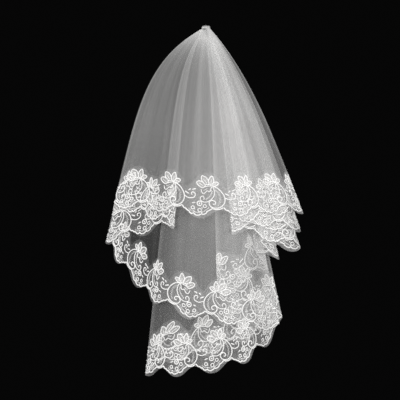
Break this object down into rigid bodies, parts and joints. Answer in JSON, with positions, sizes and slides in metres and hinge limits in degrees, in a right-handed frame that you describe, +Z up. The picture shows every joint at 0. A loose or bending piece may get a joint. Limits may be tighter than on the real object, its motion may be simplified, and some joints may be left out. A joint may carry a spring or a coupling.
{
  "type": "lace bridal veil",
  "caption": "Two-tier tulle bridal veil with an embroidered scalloped lace border, gathered tightly at the top on a hidden hair comb and hanging in layered folds.",
  "frame": {"origin": "the place on the back of the head where the gathered top is fastened, at the level of the top of the tulle folds", "axes": "+Z up, along the hang of the veil; -Y towards the outer side that is seen; +Y towards the wearer; +X to the right as seen from outside"},
  "size_m": [0.5459, 0.1508, 0.9678],
  "materials": {
    "tulle": "soft white hexagonal net, sheer",
    "lace": "matt ivory-white embroidery thread on net",
    "comb": "smooth ivory moulded plastic"
  },
  "bodies": {
    "root": {"tulle": "tulle", "lace_border": "lace", "gathered_top": "tulle", "hair_comb": "comb"}
  },
  "joints": []
}
